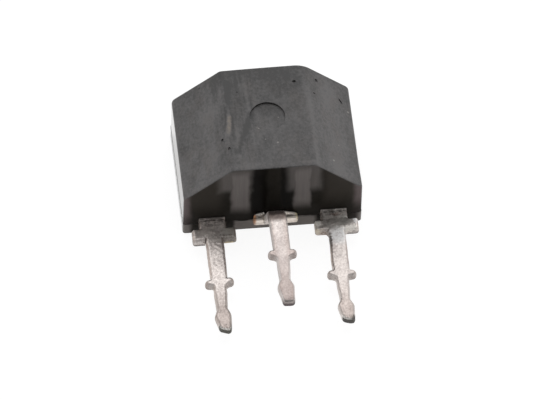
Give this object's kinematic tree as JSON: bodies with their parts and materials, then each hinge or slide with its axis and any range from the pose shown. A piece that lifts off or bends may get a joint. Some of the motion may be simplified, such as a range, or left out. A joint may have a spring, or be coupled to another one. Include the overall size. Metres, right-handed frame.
{
  "type": "small-signal transistor with snap-in leads",
  "caption": "Moulded transistor with a flat bevelled front and flat stamped leads in a row, each with a dam-bar stub, round barbs and a snap head; the centre lead steps forward.",
  "frame": {"origin": "middle of the moulding's flat back", "axes": "+X across the three leads towards the emitter lead, -Y along the leads towards their tips, +Z out of the flat bevelled front"},
  "size_m": [0.0074, 0.0109, 0.0041],
  "materials": {
    "moulding_compound": "moulded, matt front and bevels, smooth lead end",
    "tinned_lead": "stamped strip, hot-tin dipped, dull and mottled",
    "silicon": "sawn die",
    "gold_bond": "gold wire and eutectic bond"
  },
  "bodies": {
    "root": {"moulded_body": "moulding_compound", "collector_lead": "tinned_lead", "base_lead": "tinned_lead", "emitter_lead": "tinned_lead", "silicon_die": "silicon", "die_bond": "gold_bond", "base_wire": "gold_bond", "emitter_wire": "gold_bond"}
  },
  "joints": []
}
